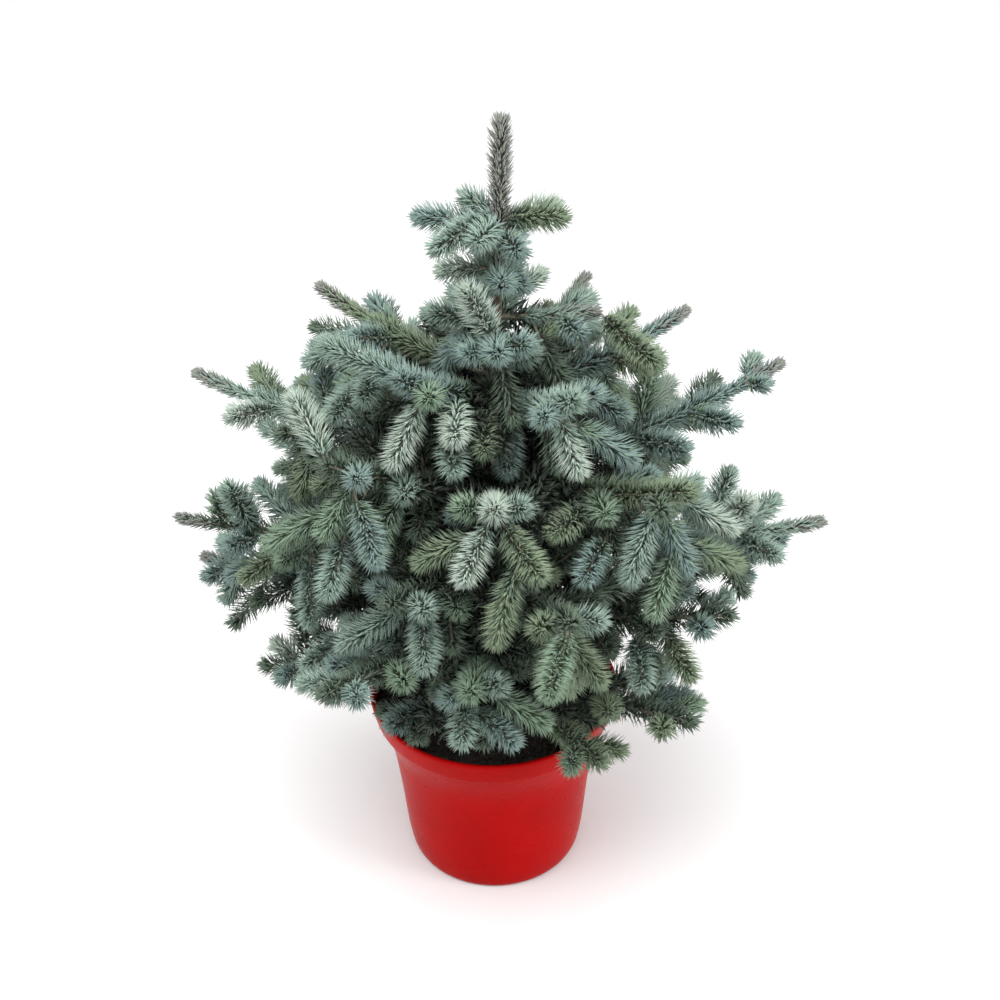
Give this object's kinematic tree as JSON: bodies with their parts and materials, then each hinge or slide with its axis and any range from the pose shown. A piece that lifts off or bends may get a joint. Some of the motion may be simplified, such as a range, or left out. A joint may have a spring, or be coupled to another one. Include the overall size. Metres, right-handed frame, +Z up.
{
  "type": "potted blue spruce",
  "caption": "Young blue spruce with an upright leader, whorls of tapering boughs and blue-grey needled shoots, in a round red plastic pot of soil with a flared rim.",
  "frame": {"origin": "centre of the pot's flat underside", "axes": "+Z up along the trunk, -Y towards the viewer of the plant's front, +X to that viewer's right"},
  "size_m": [0.6352, 0.5748, 0.857],
  "materials": {
    "pot": "satin red",
    "soil": "rough dark compost",
    "bark": "rough brown bark",
    "needles": "matt blue-grey needles"
  },
  "bodies": {
    "root": {"bough_1_1": "bark", "bough_1_3": "bark", "bough_1_4": "bark", "bough_1_8": "bark", "bough_2_1": "bark", "bough_2_2": "bark", "bough_2_4": "bark", "bough_2_5": "bark", "bough_2_7": "bark", "bough_3_1": "bark", "bough_3_3": "bark", "bough_3_4": "bark", "bough_3_6": "bark", "bough_3_7": "bark", "bough_4_1": "bark", "bough_4_4": "bark", "bough_4_7": "bark", "foliage_1_1": "needles", "foliage_1_2": "needles", "foliage_1_3": "needles", "foliage_1_4": "needles", "foliage_1_5": "needles", "foliage_1_6": "needles", "foliage_1_7": "needles", "foliage_1_8": "needles", "foliage_2_1": "needles", "foliage_2_2": "needles", "foliage_2_3": "needles", "foliage_2_4": "needles", "foliage_2_5": "needles", "foliage_2_6": "needles", "foliage_2_7": "needles", "foliage_3_1": "needles", "foliage_3_2": "needles", "foliage_3_3": "needles", "foliage_3_4": "needles", "foliage_3_5": "needles", "foliage_3_6": "needles", "foliage_3_7": "needles", "foliage_4_1": "needles", "foliage_4_2": "needles", "foliage_4_3": "needles", "foliage_4_4": "needles", "foliage_4_5": "needles", "foliage_4_6": "needles", "foliage_4_7": "needles", "foliage_5_1": "needles", "foliage_5_2": "needles", "foliage_5_3": "needles", "foliage_5_4": "needles", "foliage_5_5": "needles", "foliage_5_6": "needles", "foliage_6_1": "needles", "foliage_6_2": "needles", "foliage_6_3": "needles", "foliage_6_4": "needles", "foliage_leader": "needles", "pot": "pot", "soil": "soil", "trunk": "bark"}
  },
  "joints": []
}
